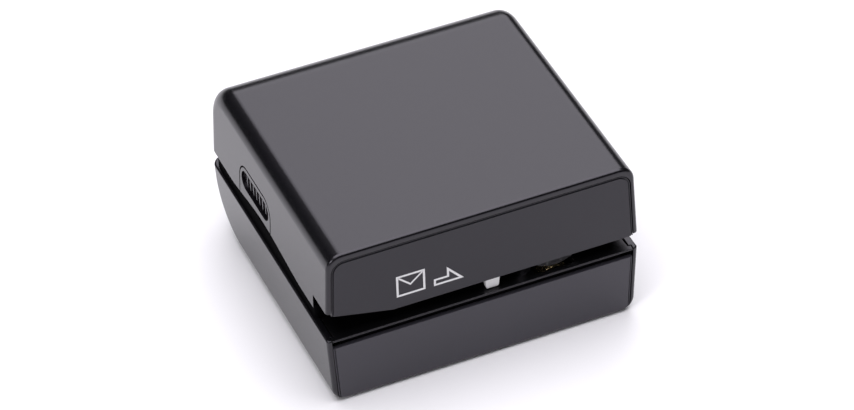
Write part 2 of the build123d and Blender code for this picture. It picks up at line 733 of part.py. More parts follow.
panel_ledge_half = side_half_width(cover_top, cover_edge, wall + opening_corner_radius + 2.0)
with BuildPart() as top_cover:
    add(cover_outer)
    add(cover_cavity, mode=Mode.SUBTRACT)
    # recess for the front panel
    with BuildSketch(front_plane(front + plate_thickness + fit_clearance)):
        add(plate_outline(cover_edge - 1, cover_top - wall, cover_edge, 0,
                          opening_corner_radius + reveal))
    extrude(amount=plate_thickness + fit_clearance + 1, mode=Mode.SUBTRACT)
    # the left wall is lifted over the mouth of the slot, its end slanted inwards
    with BuildSketch(Plane.XY.offset(cover_edge - 1)):
        Polygon((-half_width - 1, front - 1), (-half_width + wall + 2.5, front - 1),
                (-half_width + wall + 2.5, notch_back + notch_slant * (wall + 2.5)),
                (-half_width, notch_back), (-half_width - 1, notch_back), align=None)
    extrude(amount=mouth_notch_height + 1, mode=Mode.SUBTRACT)
    # opening for the latch tab
    with BuildSketch(Plane.YZ.offset(-half_width - 1)):
        add(latch_outline(latch_gap))
    extrude(amount=wall + 4, mode=Mode.SUBTRACT)
    # shallow arch under the tab
    extrude(edge_relief.sketch, amount=wall + 1.5, mode=Mode.SUBTRACT)
    # knuckles of the hinge, carried by webs under the right wall
    for y in cover_knuckle_ys:
        round_bar(hinge_x, hinge_z, y + hinge_knuckle_length, hinge_knuckle_length, hinge_radius)
        block((half_width - wall - 0.4, y, hinge_z),
              (hinge_x + hinge_radius, y + hinge_knuckle_length, cover_edge + 1.0))
        round_hole(hinge_x, hinge_z, y + hinge_knuckle_length, hinge_knuckle_length,
                   hinge_pin_radius + hinge_clearance)
    # ledge behind the front panel, and rails that guide the latch
    block((-panel_ledge_half, front + plate_thickness, cover_top - wall - 1.5),
          (panel_ledge_half, front + plate_thickness + 1.4, cover_top - wall + 0.2))
    for side in (-1, 1):
        rail_y = latch_y + side * (latch_length / 2 + latch_gap + 1.9)
        block((-half_width + wall - 0.2, rail_y - 0.8, latch_low + 3.0),
              (-half_width + wall + 3.0, rail_y + 0.8, latch_high))
top_cover.part.label = "top_cover"
export_step(top_cover.part, "parts/top_cover.step")

panel_high = cover_top - wall - reveal
mouth_x = -half_width + mouth_length + wall
with BuildPart() as front_panel:
    with BuildSketch(front_plane(front + plate_thickness)):
        add(plate_outline(slot_ceiling, panel_high, cover_edge, reveal, opening_corner_radius))
    extrude(amount=plate_thickness - ridge_setback)
    with BuildSketch(front_plane(front + ridge_setback)):
        add(plate_outline(slot_ceiling, panel_high - reveal, cover_edge, 2 * reveal,
                          opening_corner_radius - reveal))
        add(plate_outline(slot_ceiling - 1, panel_high - 2 * reveal, cover_edge, 3 * reveal,
                          opening_corner_radius - 2 * reveal), mode=Mode.SUBTRACT)
    extrude(amount=-reveal_depth, mode=Mode.SUBTRACT)
    with BuildSketch(front_plane(front + ridge_setback)):
        add(plate_outline(slot_ceiling, panel_high - 2 * reveal, cover_edge, 3 * reveal,
                          opening_corner_radius - 2 * reveal))
    extrude(amount=ridge_setback)
    # the lower edge rises towards the mouth of the slot
    with BuildSketch(front_plane(front + plate_thickness + 1)):
        Polygon((mouth_x, slot_ceiling), (-half_width, slot_ceiling + mouth_rise),
                (-half_width, slot_ceiling - 1), (mouth_x, slot_ceiling - 1), align=None)
    extrude(amount=plate_thickness + 2, mode=Mode.SUBTRACT)
front_panel.part.label = "front_panel"
export_step(front_panel.part, "parts/front_panel.step")

with BuildPart() as latch_button:
    add(cover_outer)
    with BuildSketch(Plane.YZ.offset(-half_width - 1)):
        add(latch_outline(0))
    extrude(amount=wall + 6, mode=Mode.INTERSECT)
    extrude(edge_relief.sketch, amount=wall + 6, mode=Mode.SUBTRACT)
    latch_back_x = -half_width + latch_thickness
    block((latch_back_x + 0.6, latch_y - latch_length, latch_low - 2),
          (-half_width + 12, latch_y + latch_length, latch_high + 3), mode=Mode.SUBTRACT)
    # stadium recess with plain grip ribs
    recess_z = latch_low + latch_height * 0.64
    recess_floor = -side_half_width(recess_z, cover_edge, latch_recess_depth)
    with BuildSketch(Plane.YZ.offset(recess_floor)):
        with Locations((latch_y, recess_z)):
            SlotOverall(latch_recess_length, latch_recess_height)
    extrude(amount=-4, mode=Mode.SUBTRACT)
    with BuildSketch(Plane.YZ.offset(recess_floor + 0.1)):
        with Locations((latch_y, recess_z)):
            with GridLocations(2 * latch_rib_width + 1.0, 1, latch_rib_count, 1):
                Rectangle(latch_rib_width, latch_recess_height * 0.6)
    extrude(amount=-0.6)
    # hook that reaches down beside the frame's side wall
    hook_x = -half_width + frame_inset + wall + fit_clearance
    arm_low = latch_low + relief_rise + 0.3
    block((latch_back_x - 0.2, latch_y - hook_length / 2, arm_low),
          (hook_x + hook_thickness, latch_y + hook_length / 2, arm_low + 1.5))
    block((hook_x, latch_y - hook_length / 2, hinge_z - 0.8),
          (hook_x + hook_thickness, latch_y + hook_length / 2, arm_low + 1.5))
latch_button.part.label = "latch_button"
export_step(latch_button.part, "parts/latch_button.step")

# ------------------------------------------------------------------ envelope guide and start lever
guide_thickness = 1.2
guide_top = slot_ceiling + guide_thickness
guide_front = front + plate_thickness + 0.7
guide_half = half_width - wall - 1.2
guide_window_half = sqrt(blade_radius ** 2 - (feed_z - guide_top) ** 2) + 0.9
bracket_front = lever_hub_back + 0.3
bracket_back = bracket_front + 2.0
lever_window_left = lever_x - lever_top_width / 2 - 0.6
lever_window_right = lever_x + lever_top_width / 2 + 7.6
nose_x = lever_x - lever_nose_distance * cos(radians(lever_nose_angle))
nose_z = lever_z + lever_nose_distance * sin(radians(lever_nose_angle))
arm_x = nose_x - lever_nose_radius - arm_gap - arm_thickness / 2
arm_y = lever_back + 1.2
arm_z = lever_z - arm_pivot_drop
ear_reach = arm_width / 2 + arm_ear_gap + arm_ear_thickness
switch_right = arm_x - arm_standoff
switch_left = switch_right - switch_length
switch_low = lever_z - switch_drop
switch_front = lever_front + 0.4
switch_back = switch_front + switch_depth
switch_tab_ys = (switch_front + 1.2, switch_back - 1.2)
switch_tab_end = switch_left - 2.2
switch_tab_z = switch_low + switch_height / 2

with BuildPart() as envelope_guide:
    block((-guide_half, guide_front, slot_ceiling), (guide_half, fence_back, guide_top))
    # the left end flares up over the mouth of the slot
    with BuildSketch(front_plane(fence_back)):
        Polygon((-guide_half - 1, slot_ceiling - 1), (mouth_x, slot_ceiling - 1),
                (mouth_x, slot_ceiling), (-guide_half - 1, slot_ceiling + mouth_rise + 0.6),
                align=None)
    extrude(amount=fence_depth, mode=Mode.SUBTRACT)
    with BuildSketch(front_plane(fence_back)):
        Polygon((-guide_half, slot_ceiling + mouth_rise + 0.3), (mouth_x, slot_ceiling),
                (mouth_x, guide_top), (-guide_half, guide_top + mouth_rise + 0.3), align=None)
    extrude(amount=fence_back - guide_front)
    with BuildSketch(front_plane(fence_back)):
        Polygon((-guide_half, slot_ceiling), (mouth_x, slot_ceiling),
                (-guide_half, slot_ceiling + mouth_rise + 0.5), align=None)
    extrude(amount=fence_thickness)
    # windows for the feed wheel with its blade, and for the lever
    block((feed_x - guide_window_half, guide_front - 1, slot_ceiling - 1),
          (feed_x + guide_window_half, roller_blade_back + 0.3, guide_top + 1),
          mode=Mode.SUBTRACT)
    block((lever_window_left, guide_front - 1, slot_ceiling - 1),
          (lever_window_right, lever_back + 0.5, guide_top + 1), mode=Mode.SUBTRACT)
    # bracket of the lever's pin and seat of the switch
    block((lever_x - 2.6, bracket_front, guide_top - 0.1), (lever_x + 2.6, bracket_back, lever_z))
    round_bar(lever_x, lever_z, bracket_back, bracket_back - bracket_front, 2.6)
    round_hole(lever_x, lever_z, bracket_back, bracket_back - bracket_front, lever_pin_radius)
    block((switch_left, switch_front + 0.4, guide_top - 0.1),
          (switch_right, switch_back, switch_low))
envelope_guide.part.label = "envelope_guide"
export_step(envelope_guide.part, "parts/envelope_guide.step")

with BuildPart() as lever_pin:
    round_bar(lever_x, lever_z, bracket_back, bracket_back - lever_front, lever_pin_radius)
lever_pin.part.label = "lever_pin"
export_step(lever_pin.part, "parts/lever_pin.step")

with BuildPart() as start_lever:
    round_bar(lever_x, lever_z, lever_back, lever_thickness, lever_head_radius)
    round_bar(lever_x, lever_z, lever_hub_back, lever_hub_length, lever_hub_radius)
    with BuildSketch(front_plane(lever_back)):
        tip_z = table_top + lever_floor_gap
        Polygon((lever_x - lever_top_width / 2, lever_z), (lever_x + lever_top_width / 2, lever_z),
                (lever_x + lever_top_width / 2, slot_ceiling - 1.2),
                (lever_x + lever_tip_width / 2, tip_z), (lever_x - lever_tip_width / 2, tip_z),
                (lever_x - lever_top_width / 2, slot_ceiling - 1.2), align=None)
    extrude(amount=lever_thickness)
    tip_edges = start_lever.edges().filter_by(Axis.Y).group_by(Axis.Z)[0]
    fillet(tip_edges, lever_tip_radius)
    # rounded nose with the web that ties it to the hub
    round_bar(nose_x, nose_z, lever_hub_back, lever_hub_back - lever_back, lever_nose_radius)
    with BuildSketch(front_plane(lever_hub_back)):
        with Locations(((lever_x + nose_x) / 2, (lever_z + nose_z) / 2)):
            Rectangle(lever_nose_distance, 2 * lever_nose_radius - 0.2,
                      rotation=180 - lever_nose_angle)
    extrude(amount=lever_hub_back - lever_back)
    round_hole(lever_x, lever_z, lever_hub_back, lever_hub_length,
               lever_pin_radius + shaft_clearance)
start_lever.part.label = "start_lever"
export_step(start_lever.part, "parts/start_lever.step")

with BuildPart() as start_switch:
    block((switch_left, switch_front, switch_low),
          (switch_right, switch_back, switch_low + switch_height))
    fillet(start_switch.edges().filter_by(Axis.Y), 0.4)
    # two ears on the right end carry the arm
    for ear_front in (arm_y - ear_reach, arm_y + ear_reach - arm_ear_thickness):
        block((switch_right - 0.3, ear_front, arm_z - arm_foot_radius),
              (arm_x, ear_front + arm_ear_thickness, arm_z + arm_foot_radius))
        round_bar(arm_x, arm_z, ear_front + arm_ear_thickness, arm_ear_thickness, arm_foot_radius)
        round_hole(arm_x, arm_z, ear_front + arm_ear_thickness, arm_ear_thickness,
                   arm_pin_radius + shaft_clearance)
    # two terminals on the left end
    for y in switch_tab_ys:
        block((switch_tab_end, y - 0.9, switch_tab_z - 0.2),
              (switch_left + 0.1, y + 0.9, switch_tab_z + 0.2))
start_switch.part.label = "start_switch"
export_step(start_switch.part, "parts/start_switch.step")

with BuildPart() as switch_arm:
    block((arm_x - arm_thickness / 2, arm_y - arm_width / 2, arm_z),
          (arm_x + arm_thickness / 2, arm_y + arm_width / 2, arm_z + arm_length))
    fillet(switch_arm.edges().filter_by(Axis.Y).group_by(Axis.Z)[-1], 0.2)
    round_bar(arm_x, arm_z, arm_y + arm_width / 2, arm_width, arm_foot_radius)
    round_bar(arm_x, arm_z, arm_y + ear_reach - 0.05, 2 * ear_reach - 0.1, arm_pin_radius)
switch_arm.part.label = "switch_arm"
export_step(switch_arm.part, "parts/switch_arm.step")

# ------------------------------------------------------------------ gearbox plates
post_places = ((gearbox_left + 3.0, gearbox_top - 3.5), (gearbox_right - 3.0, gearbox_top - 3.5),
               (gearbox_right - 3.0, deck_top + 3.5))
tongue_bottom = roller_z - bushing_radius - 1.8


def gearbox_plate(y_back):
    """Side plate of the gearbox with holes for the shafts, the gear pins and the screws."""
    with BuildPart() as plate:
        with BuildSketch(front_plane(y_back)):
            Polygon((gearbox_left, deck_top), (gearbox_right, deck_top),
                    (gearbox_right, gearbox_top), (gearbox_left, gearbox_top), align=None)
            Polygon((feed_x - tongue_width / 2, tongue_bottom),
                    (feed_x + tongue_width / 2, tongue_bottom),
                    (feed_x + tongue_width / 2, deck_top + 1),
                    (feed_x - tongue_width / 2, deck_top + 1), align=None)
            with Locations((feed_x, feed_z), (feed_x, roller_z)):
                Circle(bushing_radius, mode=Mode.SUBTRACT)
            with Locations((second_x, second_z), (first_x, first_z)):
                Circle(gear_pin_radius, mode=Mode.SUBTRACT)
            with Locations(*post_places):
                Circle(screw_radius, mode=Mode.SUBTRACT)
        extrude(amount=gearbox_plate_thickness)
        corners = plate.edges().filter_by(Axis.Y).filter_by(
            lambda e: abs(e.center().Z - gearbox_top) < 0.01)
        fillet(corners, 3.0)
    return plate.part


with BuildPart() as gearbox_front_plate:
    add(gearbox_plate(plate_front_back))
gearbox_front_plate.part.label = "gearbox_front_plate"
export_step(gearbox_front_plate.part, "parts/gearbox_front_plate.step")

with BuildPart() as gearbox_rear_plate:
    add(gearbox_plate(plate_rear_back))
    round_hole(motor_x, motor_z, plate_rear_back, gearbox_plate_thickness,
               motor_boss_radius + 0.1)
    # bent feet that are screwed to the deck
    for x, y in plate_feet:
        block((x - 3.5, plate_rear_back - 0.1, deck_top), (x + 3.5, y + 3.0, deck_top + 1.2))
        with Locations((x, y, deck_top)):
            Cylinder(screw_radius, 2.4, mode=Mode.SUBTRACT,
                     align=(Align.CENTER, Align.CENTER, Align.MIN))
gearbox_rear_plate.part.label = "gearbox_rear_plate"
export_step(gearbox_rear_plate.part, "parts/gearbox_rear_plate.step")

with BuildPart() as gearbox_posts:
    for x, z in post_places:
        round_bar(x, z, plate_rear_face, gearbox_depth, screw_radius + 1.2)
        round_hole(x, z, plate_rear_face, gearbox_depth, screw_radius)
gearbox_posts.part.label = "gearbox_posts"
export_step(gearbox_posts.part, "parts/gearbox_posts.step")

with BuildPart() as gearbox_screws:
    for x, z in post_places:
        screw_length = plate_rear_back - plate_front_face
        round_bar(x, z, plate_rear_back, screw_length, screw_radius)
        round_bar(x, z, plate_rear_back + screw_head_height, screw_head_height, screw_head_radius)
gearbox_screws.part.label = "gearbox_screws"
export_step(gearbox_screws.part, "parts/gearbox_screws.step")

with BuildPart() as frame_screws:
    for x, y in plate_feet:
        with Locations((x, y, deck_top - deck_thickness)):
            Cylinder(screw_radius, deck_thickness + 1.2,
                     align=(Align.CENTER, Align.CENTER, Align.MIN))
        with Locations((x, y, deck_top + 1.2)):
            Cylinder(screw_head_radius, screw_head_height,
                     align=(Align.CENTER, Align.CENTER, Align.MIN))
frame_screws.part.label = "frame_screws"
export_step(frame_screws.part, "parts/frame_screws.step")

bushing_places = {"feed_front_bushing": (feed_z, plate_front_back),
                  "feed_rear_bushing": (feed_z, plate_rear_back),
                  "roller_front_bushing": (roller_z, plate_front_back),
                  "roller_rear_bushing": (roller_z, plate_rear_back)}
for node, (z, y) in bushing_places.items():
    with BuildPart() as bushing:
        round_bar(feed_x, z, y, gearbox_plate_thickness, bushing_radius)
        round_hole(feed_x, z, y, gearbox_plate_thickness, shaft_radius + shaft_clearance)
    bushing.part.label = node
    export_step(bushing.part, f"parts/{node}.step")

# ------------------------------------------------------------------ feed shafts, wheel, roller, blades
shaft_front = wheel_back - feed_wheel_width - 0.3
shaft_back = plate_rear_back + 1.0
drive_phase = -90.0
roller_gear_phase = mesh_phase(-90.0, drive_teeth, drive_phase, roller_gear_teeth)

with BuildPart() as feed_shaft:
    round_bar(feed_x, feed_z, shaft_back, shaft_back - shaft_front, shaft_radius)
feed_shaft.part.label = "feed_shaft"
export_step(feed_shaft.part, "parts/feed_shaft.step")

with BuildPart() as feed_wheel:
    round_bar(feed_x, feed_z, wheel_back, feed_wheel_width, feed_wheel_radius)
    fillet(feed_wheel.edges(), 0.3)
    round_hole(feed_x, feed_z, wheel_back, feed_wheel_width, feed_wheel_radius - 2.5)
feed_wheel.part.label = "feed_wheel"
export_step(feed_wheel.part, "parts/feed_wheel.step")

with BuildPart() as feed_wheel_hub:
    round_bar(feed_x, feed_z, wheel_back, feed_wheel_width, feed_wheel_radius - 2.5)
    round_hole(feed_x, feed_z, wheel_back, feed_wheel_width, shaft_radius)
feed_wheel_hub.part.label = "feed_wheel_hub"
export_step(feed_wheel_hub.part, "parts/feed_wheel_hub.step")

with BuildPart() as upper_blade:
    round_bar(feed_x, feed_z, blade_back, blade_thickness, blade_radius)
    chamfer(upper_blade.edges().group_by(Axis.Y)[0], 0.6)
    round_bar(feed_x, feed_z, blade_back - blade_thickness, 0.7, shaft_radius + 2.0)
    round_bar(feed_x, feed_z, plate_front_face - 0.4, plate_front_face - 0.4 - blade_back,
              shaft_radius + 1.6)
    round_hole(feed_x, feed_z, plate_front_face, plate_front_face - wheel_back, shaft_radius)
upper_blade.part.label = "upper_blade"
export_step(upper_blade.part, "parts/upper_blade.step")

with BuildPart() as drive_gear:
    spur_gear(feed_x, feed_z, feed_plane, feed_gear_width, drive_teeth, feed_module, drive_phase)
    round_bar(feed_x, feed_z, plate_rear_face - 0.4, plate_rear_face - 0.4 - feed_plane,
              shaft_radius + 1.4)
    round_hole(feed_x, feed_z, plate_rear_face, gearbox_depth, shaft_radius)
drive_gear.part.label = "drive_gear"
export_step(drive_gear.part, "parts/drive_gear.step")

with BuildPart() as roller_shaft:
    round_bar(feed_x, roller_z, shaft_back, shaft_back - shaft_front, shaft_radius)
roller_shaft.part.label = "roller_shaft"
export_step(roller_shaft.part, "parts/roller_shaft.step")

with BuildPart() as feed_roller:
    round_bar(feed_x, roller_z, wheel_back, feed_wheel_width, roller_radius)
    chamfer(feed_roller.edges(), 0.25)
    round_hole(feed_x, roller_z, wheel_back, feed_wheel_width, shaft_radius)
feed_roller.part.label = "feed_roller"
export_step(feed_roller.part, "parts/feed_roller.step")

with BuildPart() as lower_blade:
    round_bar(feed_x, roller_z, roller_blade_back, blade_thickness, roller_blade_radius)
    chamfer(lower_blade.edges().group_by(Axis.Y)[-1], 0.4)
    round_bar(feed_x, roller_z, plate_front_face - 0.4,
              plate_front_face - 0.4 - roller_blade_back, shaft_radius + 1.2)
    round_hole(feed_x, roller_z, plate_front_face, plate_front_face - wheel_back, shaft_radius)
lower_blade.part.label = "lower_blade"
export_step(lower_blade.part, "parts/lower_blade.step")

with BuildPart() as roller_gear:
    spur_gear(feed_x, roller_z, feed_plane, feed_gear_width, roller_gear_teeth, feed_module,
              roller_gear_phase)
    round_bar(feed_x, roller_z, plate_rear_face - 0.4, plate_rear_face - 0.4 - feed_plane,
              shaft_radius + 1.2)
    round_hole(feed_x, roller_z, plate_rear_face, gearbox_depth, shaft_radius)
roller_gear.part.label = "roller_gear"
export_step(roller_gear.part, "parts/roller_gear.step")

# ------------------------------------------------------------------ gear train and motor
feed_to_second = angle_between(feed_x, feed_z, second_x, second_z)
second_to_first = angle_between(second_x, second_z, first_x, first_z)
first_to_motor = angle_between(first_x, first_z, motor_x, motor_z)
feed_pinion_phase = mesh_phase(feed_to_second, drive_teeth, drive_phase, feed_pinion_teeth)
second_pinion_phase = mesh_phase(second_to_first, train_gear_teeth, 0, train_pinion_teeth)
motor_pinion_phase = mesh_phase(first_to_motor, train_gear_teeth, 0, train_pinion_teeth)

with BuildPart() as second_gear:
    spur_gear(second_x, second_z, feed_plane, feed_gear_width, feed_pinion_teeth, feed_module,
              feed_pinion_phase)
    round_bar(second_x, second_z, second_plane - train_gear_width, gear_gap,
              feed_pinion_teeth * feed_module / 2 - 0.9)
    spur_gear(second_x, second_z, second_plane, train_gear_width, train_gear_teeth,
              train_module, 0)
    round_hole(second_x, second_z, second_plane, 8.0, gear_pin_radius + shaft_clearance)
second_gear.part.label = "second_gear"
export_step(second_gear.part, "parts/second_gear.step")

with BuildPart() as first_gear:
    spur_gear(first_x, first_z, second_plane, train_gear_width, train_pinion_teeth,
              train_module, second_pinion_phase)
    round_bar(first_x, first_z, first_plane - train_gear_width, gear_gap,
              train_pinion_teeth * train_module / 2 - 0.7)
    spur_gear(first_x, first_z, first_plane, train_gear_width, train_gear_teeth,
              train_module, 0)
    round_hole(first_x, first_z, first_plane, 8.0, gear_pin_radius + shaft_clearance)
first_gear.part.label = "first_gear"
export_step(first_gear.part, "parts/first_gear.step")

with BuildPart() as gear_pins:
    for x, z in ((first_x, first_z), (second_x, second_z)):
        round_bar(x, z, plate_rear_back, plate_rear_back - plate_front_face, gear_pin_radius)
gear_pins.part.label = "gear_pins"
export_step(gear_pins.part, "parts/gear_pins.step")

with BuildPart() as motor_pinion:
    spur_gear(motor_x, motor_z, first_plane, train_gear_width, train_pinion_teeth, train_module,
              motor_pinion_phase)
    round_hole(motor_x, motor_z, first_plane, train_gear_width, motor_shaft_radius)
motor_pinion.part.label = "motor_pinion"
export_step(motor_pinion.part, "parts/motor_pinion.step")

with BuildPart() as motor_shaft:
    round_bar(motor_x, motor_z, plate_rear_back + 4.0,
              plate_rear_back + 4.0 - first_plane + train_gear_width + 0.5, motor_shaft_radius)
motor_shaft.part.label = "motor_shaft"
export_step(motor_shaft.part, "parts/motor_shaft.step")

with BuildPart() as motor:
    with BuildSketch(front_plane(motor_back)):
        with Locations((motor_x, motor_z)):
            Circle(motor_width / 2)
            Rectangle(motor_width, motor_height, mode=Mode.INTERSECT)
    extrude(amount=motor_length)
    fillet(motor.edges().group_by(Axis.Y)[-1], 0.6)
    round_bar(motor_x, motor_z, plate_rear_back, motor_boss_length, motor_boss_radius)
    round_hole(motor_x, motor_z, plate_rear_back + 4.5, 7.0, motor_shaft_radius + shaft_clearance)
motor.part.label = "motor"
export_step(motor.part, "parts/motor.step")

with BuildPart() as motor_cap:
    with BuildSketch(front_plane(motor_back + 2.0)):
        with Locations((motor_x, motor_z)):
            Circle(motor_width / 2 - 0.6)
            Rectangle(motor_width - 1.2, motor_height - 1.2, mode=Mode.INTERSECT)
    extrude(amount=2.0)
    round_bar(motor_x, motor_z, motor_back + 3.2, 1.3, 3.0)
    for side in (-1, 1):
        tab_x = motor_x + side * motor_tab_offset
        block((tab_x - 1.0, motor_back + 1.9, motor_z - 0.2),
              (tab_x + 1.0, motor_tab_end, motor_z + 0.2))
motor_cap.part.label = "motor_cap"
export_step(motor_cap.part, "parts/motor_cap.step")

# ------------------------------------------------------------------ leads
lead_low = bay_top + bay_wall
front_tab_y, back_tab_y = switch_tab_ys
motor_lead_y = motor_tab_end - 1.0
yellow_lead_x = gearbox_left - yellow_lead_gap
lead_routes = {
    "red_lead": [(red_lead_x, red_lead_y, lead_low), (red_lead_x, red_lead_y, switch_tab_z),
                 (red_lead_x, back_tab_y, switch_tab_z),
                 (switch_tab_end, back_tab_y, switch_tab_z)],
    "black_lead": [(motor_x - motor_tab_offset, black_lead_y, lead_low),
                   (motor_x - motor_tab_offset, black_lead_y, motor_z),
                   (motor_x - motor_tab_offset, motor_tab_end, motor_z)],
    "yellow_lead": [(switch_tab_end, front_tab_y, switch_tab_z),
                    (yellow_lead_x, front_tab_y, switch_tab_z),
                    (yellow_lead_x, motor_lead_y, switch_tab_z),
                    (motor_x + motor_tab_offset, motor_lead_y, switch_tab_z),
                    (motor_x + motor_tab_offset, motor_lead_y, motor_z - 0.2)],
}
for node, route in lead_routes.items():
    with BuildPart() as lead:
        with BuildLine() as path:
            FilletPolyline(*route, radius=wire_bend)
        with BuildSketch(Plane(origin=path.line @ 0, z_dir=path.line % 0)):
            Circle(wire_radius)
        sweep(path=path.line)
    lead.part.label = node
    export_step(lead.part, f"parts/{node}.step")
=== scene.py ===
"""Looks of the electric letter opener: materials, printed icons, light and camera.

Metres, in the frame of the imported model: X is the way the envelope travels, Y runs from the front
to the back, +Z is up, and the origin is the middle of the footprint, on the desk.
"""

import json
from math import cos, radians, sin

import bmesh
import bpy
from mathutils import Matrix, Vector


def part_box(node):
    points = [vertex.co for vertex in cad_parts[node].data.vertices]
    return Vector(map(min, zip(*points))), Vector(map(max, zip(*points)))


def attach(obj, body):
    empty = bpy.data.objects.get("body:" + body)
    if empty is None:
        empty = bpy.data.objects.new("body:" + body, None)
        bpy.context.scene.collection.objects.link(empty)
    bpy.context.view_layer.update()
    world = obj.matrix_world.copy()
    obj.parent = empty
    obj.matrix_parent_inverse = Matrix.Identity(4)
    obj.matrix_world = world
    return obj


MM = 0.001

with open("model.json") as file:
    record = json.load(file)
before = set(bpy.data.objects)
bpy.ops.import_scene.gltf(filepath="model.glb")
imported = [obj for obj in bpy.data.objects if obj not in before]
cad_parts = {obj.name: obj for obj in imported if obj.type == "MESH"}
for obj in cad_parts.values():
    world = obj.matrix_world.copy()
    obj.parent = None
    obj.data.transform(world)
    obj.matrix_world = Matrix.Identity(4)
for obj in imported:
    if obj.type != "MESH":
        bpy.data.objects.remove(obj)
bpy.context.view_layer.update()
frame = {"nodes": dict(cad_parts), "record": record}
nodes = frame["nodes"]

# ------------------------------------------------------------------ camera, fitted to the photograph
VIEW_WIDTH_PX = 854
FOCAL_PX = 4098.0
SENSOR_MM = 36.0
CAMERA_PLACE = Vector((-319.1, -792.3, 735.8)) * MM
AZIMUTH = radians(-22.05)         # the camera stands this far round from straight in front
ELEVATION = radians(39.94)
ROLL = radians(-2.28)


def make_camera():
    """Camera whose axes come from its azimuth, elevation and roll."""
    back = Vector((sin(AZIMUTH) * cos(ELEVATION), -cos(AZIMUTH) * cos(ELEVATION), sin(ELEVATION)))
    right = Vector((cos(AZIMUTH), sin(AZIMUTH), 0))
    up = back.cross(right)
    right, up = cos(ROLL) * right + sin(ROLL) * up, cos(ROLL) * up - sin(ROLL) * right
    data = bpy.data.cameras.new("camera")
    data.sensor_width = SENSOR_MM
    data.lens = FOCAL_PX / VIEW_WIDTH_PX * SENSOR_MM
    data.clip_start = 0.01
    data.clip_end = 20
    camera = bpy.data.objects.new("camera", data)
    bpy.context.scene.collection.objects.link(camera)
    turn = Matrix((right, up, back)).transposed().to_4x4()
    camera.matrix_world = Matrix.Translation(CAMERA_PLACE) @ turn
    bpy.context.scene.camera = camera


make_camera()


# ------------------------------------------------------------------ materials
COOL_GLOSS = (0.95, 0.92, 1.0)    # slightly violet reflections of the plastics
SOFT_EDGE = 0.18 * MM             # edges catch the light as if they were rounded this much
GRAIN_HEIGHT_MM = 0.01            # spark-eroded grain of moulded plastic
TOOL_MARK_HEIGHT_MM = 0.02
KNURL_HEIGHT_MM = 0.35
PIT_HEIGHT_MM = 0.08              # pits in worn rubber
# how often a pattern repeats in a metre
TONE_PER_METRE = 45
GLOSS_PER_METRE = 1200
KNURL_PER_METRE = 700
# size of the painted glint spots on the knurled brass
GLINT_SPOTS_PER_METRE = 1300
DUST_PER_METRE = 900
PITS_PER_METRE = 1400


class Shader:
    """A node material with one Principled shader, built up call by call."""

    def __init__(self, name, roughness, metallic=0.0, specular=0.5):
        self.material = bpy.data.materials.new(name)
        self.material.use_nodes = True
        self.tree = self.material.node_tree
        self.shader = self.tree.nodes["Principled BSDF"]
        self.shader.inputs["Roughness"].default_value = roughness
        self.shader.inputs["Metallic"].default_value = metallic
        self.shader.inputs["Specular IOR Level"].default_value = specular
        if metallic == 0:
            self.shader.inputs["Specular Tint"].default_value = (*COOL_GLOSS, 1)
        self.place = self.add("ShaderNodeTexCoord").outputs["Object"]
        soft_edge = self.add("ShaderNodeBevel", samples=6)
        soft_edge.inputs["Radius"].default_value = SOFT_EDGE
        self.link(soft_edge.outputs["Normal"], self.shader.inputs["Normal"])

    def add(self, kind, **values):
        node = self.tree.nodes.new(kind)
        for key, value in values.items():
            setattr(node, key, value)
        return node

    def link(self, source, target):
        self.tree.links.new(source, target)

    def stretched(self, scale):
        """Object coordinates, scaled differently along the three axes."""
        mapping = self.add("ShaderNodeMapping")
        mapping.inputs["Scale"].default_value = scale
        self.link(self.place, mapping.inputs["Vector"])
        return mapping.outputs["Vector"]

    def noise(self, per_metre, detail=2.0, vector=None):
        node = self.add("ShaderNodeTexNoise")
        node.inputs["Scale"].default_value = per_metre
        node.inputs["Detail"].default_value = detail
        self.link(vector or self.place, node.inputs["Vector"])
        return node.outputs["Fac"]

    def cells(self, per_metre):
        node = self.add("ShaderNodeTexVoronoi")
        node.inputs["Scale"].default_value = per_metre
        self.link(self.place, node.inputs["Vector"])
        return node.outputs["Distance"]

    def remap(self, source, low, high, from_low=0.3, from_high=0.7):
        node = self.add("ShaderNodeMapRange")
        node.inputs["From Min"].default_value = from_low
        node.inputs["From Max"].default_value = from_high
        node.inputs["To Min"].default_value = low
        node.inputs["To Max"].default_value = high
        self.link(source, node.inputs["Value"])
        return node.outputs["Result"]

    def colours(self, source, low, high, from_low=0.3, from_high=0.7):
        node = self.add("ShaderNodeValToRGB")
        ramp = node.color_ramp.elements
        ramp[0].position, ramp[1].position = from_low, from_high
        ramp[0].color, ramp[1].color = (*low, 1), (*high, 1)
        self.link(source, node.inputs["Fac"])
        return node.outputs["Color"]

    def base(self, source):
        self.link(source, self.shader.inputs["Base Color"])

    def roughness(self, source):
        self.link(source, self.shader.inputs["Roughness"])

    def bump(self, source, strength, height_mm):
        node = self.add("ShaderNodeBump")
        node.inputs["Strength"].default_value = strength
        node.inputs["Distance"].default_value = height_mm * MM
        self.link(source, node.inputs["Height"])
        previous = self.shader.inputs["Normal"].links
        if previous:
            self.link(previous[0].from_socket, node.inputs["Normal"])
        self.link(node.outputs["Normal"], self.shader.inputs["Normal"])


def scaled(colour, factor):
    return tuple(channel * factor for channel in colour)


def grained_plastic(name, colour, roughness, grain_mm=0.35, bump=0.25, specular=0.5, spread=0.06):
    """Moulded plastic: slight tone variation, fine spark-eroded grain and uneven gloss."""
    m = Shader(name, roughness, specular=specular)
    tone = m.noise(TONE_PER_METRE, 3)
    m.base(m.colours(tone, scaled(colour, 1 - spread), scaled(colour, 1 + spread)))
    m.roughness(m.remap(m.noise(GLOSS_PER_METRE), roughness - 0.02, roughness + 0.02))
    m.bump(m.noise(1 / (grain_mm * MM), 3), bump, GRAIN_HEIGHT_MM)
    return m.material


